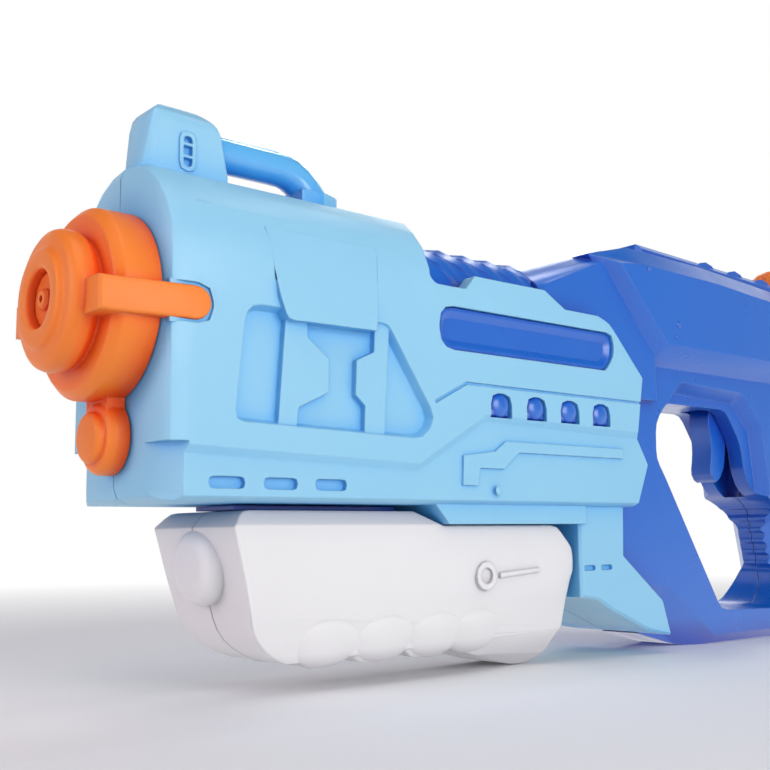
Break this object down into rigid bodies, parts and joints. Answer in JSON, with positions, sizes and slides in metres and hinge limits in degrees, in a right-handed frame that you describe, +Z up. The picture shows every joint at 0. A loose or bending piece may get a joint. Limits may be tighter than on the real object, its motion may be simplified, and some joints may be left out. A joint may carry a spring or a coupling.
{
  "type": "toy water squirter",
  "caption": "Pump-action toy water blaster: a ribbed two-part casing with an orange nozzle, a sliding pump handle below, a trigger in a closed hand opening, a screw-capped tank and a carry bar.",
  "frame": {"origin": "under the middle of the overall box, on the flat underside of the grip bar", "axes": "+X from the muzzle towards the butt, +Y towards the right side, +Z up"},
  "size_m": [0.421, 0.0608, 0.167],
  "materials": {
    "casing": "satin light blue moulded plastic",
    "frame_blue": "semi-gloss dark blue moulded plastic",
    "orange": "satin orange moulded plastic",
    "handle_white": "satin white moulded plastic",
    "tank_clear": "smooth milky plastic",
    "rubber": "dull black rubber",
    "steel": "plain steel"
  },
  "bodies": {
    "housing": {"cover_left": "casing", "cover_right": "casing", "sight_loop": "casing", "body_left": "frame_blue", "body_right": "frame_blue", "barrel_jacket": "frame_blue", "badge_plate_left": "frame_blue", "badge_plate_right": "frame_blue", "vent_strip_left": "frame_blue", "vent_strip_right": "frame_blue", "pump_rail": "frame_blue", "nozzle_cap": "orange", "nozzle_jet": "orange", "rod_guide": "handle_white", "end_cap": "handle_white", "water_tank": "tank_clear", "valve_body": "tank_clear", "barrel_tube": "tank_clear", "feed_tube": "tank_clear", "air_hose": "tank_clear", "pump_cylinder": "tank_clear", "check_valve": "rubber", "trigger_pin": "steel", "valve_spring": "steel", "cover_screw_1": "steel", "cover_screw_2": "steel", "cover_screw_3": "steel", "cover_screw_4": "steel", "body_screw_1": "steel", "body_screw_2": "steel", "body_screw_3": "steel", "body_screw_4": "steel", "body_screw_5": "steel"},
    "pump_handle": {"pump_grip_left": "handle_white", "pump_grip_right": "handle_white", "pump_rod": "steel", "piston": "handle_white", "piston_seal": "rubber", "pump_screw_1": "steel", "pump_screw_2": "steel"},
    "trigger_lever": {"trigger": "frame_blue"},
    "plunger": {"valve_plunger": "steel"},
    "seal": {"cap_seal": "rubber"},
    "cap": {"filler_cap": "orange"}
  },
  "joints": [
    {"name": "pump_slide", "type": "slide", "parent": "housing", "child": "pump_handle", "axis": [-1, 0, 0], "range_m": [0, 0.052]},
    {"name": "trigger_pull", "type": "hinge", "parent": "housing", "child": "trigger_lever", "pos_m": [0.0955, 0, 0.092], "axis": [0, -1, 0], "range_deg": [0, 14], "stiffness_Nm_per_rad": 0.3, "springref_deg": -5.73},
    {"name": "plunger_slide", "type": "slide", "parent": "housing", "child": "plunger", "axis": [-1, 0, 0], "range_m": [0, 0.0026]},
    {"name": "cap_lift", "type": "slide", "parent": "housing", "child": "seal", "axis": [0, 0, 1], "range_m": [0, 0.004]},
    {"name": "cap_turn", "type": "hinge", "parent": "seal", "child": "cap", "pos_m": [0.1625, 0, 0.16], "axis": [0, 0, 1], "range_deg": [0, 360]}
  ],
  "couplings": [
    {"joint": "plunger_slide", "follows": "trigger_pull", "m_per_rad": 0.01},
    {"joint": "cap_lift", "follows": "cap_turn", "m_per_rad": 0.0006366}
  ]
}
